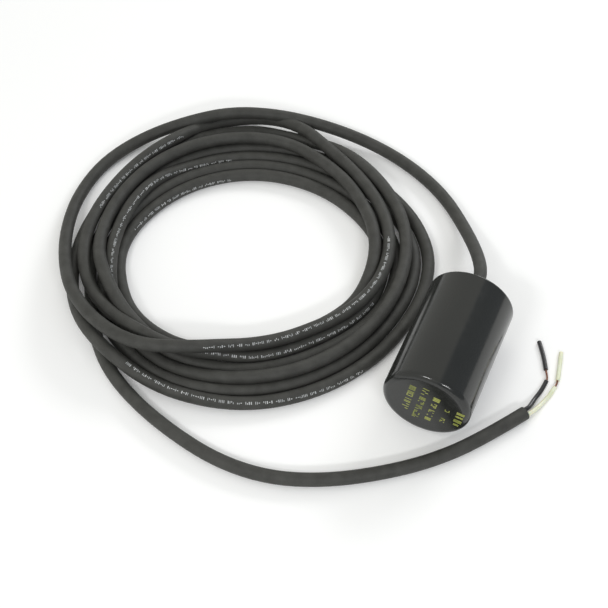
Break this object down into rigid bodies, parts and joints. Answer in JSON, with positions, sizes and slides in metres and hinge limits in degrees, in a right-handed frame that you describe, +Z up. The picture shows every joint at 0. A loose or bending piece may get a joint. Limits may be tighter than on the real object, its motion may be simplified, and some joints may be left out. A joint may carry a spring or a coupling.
{
  "type": "cable float switch",
  "caption": "Round black float on its side with a long round cable laid in a loose coil and stripped conductor ends; a rolling ball tips a lever and snap switch inside.",
  "frame": {"origin": "on the surface the float lies on, under the middle of the float", "axes": "+Y along the float's axis from its plain flat end to its cable end; +Z up from the surface; +X to the right when the plain end is seen"},
  "size_m": [0.3179, 0.2584, 0.0492],
  "materials": {
    "float_gloss": "gloss",
    "cable_jacket": "matte",
    "insulation_black": "satin",
    "insulation_cream": "satin",
    "bare_copper": "bright",
    "seal_rubber": "matte",
    "carrier_plastic": "satin",
    "plated_steel": "satin",
    "ball_steel": "polished",
    "switch_plastic": "satin",
    "plunger_plastic": "satin",
    "contact_brass": "bright"
  },
  "bodies": {
    "float": {"float_shell": "float_gloss", "rear_cap": "float_gloss", "cap_seal": "seal_rubber", "cable_bush": "seal_rubber", "gland_washer": "plated_steel", "gland_nut": "carrier_plastic", "crimp_ring": "plated_steel", "cable_entry": "cable_jacket", "switch_carrier": "carrier_plastic", "lever_pin": "plated_steel", "switch_case": "switch_plastic", "switch_cover": "switch_plastic", "switch_screws": "plated_steel", "open_terminal": "contact_brass", "common_terminal": "contact_brass", "open_connector": "contact_brass", "common_connector": "contact_brass", "black_inner_lead": "insulation_black", "white_inner_lead": "insulation_cream", "cable_lead": "cable_jacket", "cable_coil": "cable_jacket", "cable_tail": "cable_jacket", "black_conductor": "insulation_black", "white_conductor": "insulation_cream", "black_strand": "bare_copper", "white_strand": "bare_copper", "black_slug": "insulation_black", "white_slug": "insulation_cream"},
    "ball": {"steel_ball": "ball_steel"},
    "lever": {"actuator_lever": "plated_steel"},
    "plunger": {"switch_plunger": "plunger_plastic"},
    "blade": {"contact_blade": "contact_brass"}
  },
  "joints": [
    {"name": "ball_roll", "type": "slide", "parent": "float", "child": "ball", "axis": [0, 1, 0], "range_m": [0, 0.01191]},
    {"name": "lever_pivot", "type": "hinge", "parent": "float", "child": "lever", "pos_m": [0, -0.0075, 0.024], "axis": [1, 0, 0], "range_deg": [0, 8]},
    {"name": "plunger_press", "type": "slide", "parent": "float", "child": "plunger", "axis": [0, 0, 1], "range_m": [0, 0.00102]},
    {"name": "blade_swing", "type": "hinge", "parent": "float", "child": "blade", "pos_m": [0, 0.0062, 0.03101], "axis": [-1, 0, 0], "range_deg": [0, 3.55]}
  ],
  "couplings": [
    {"joint": "lever_pivot", "follows": "ball_roll", "rad_per_m": 11.722},
    {"joint": "plunger_press", "follows": "ball_roll", "ratio": 0.08547},
    {"joint": "blade_swing", "follows": "ball_roll", "rad_per_m": 5.2018}
  ]
}
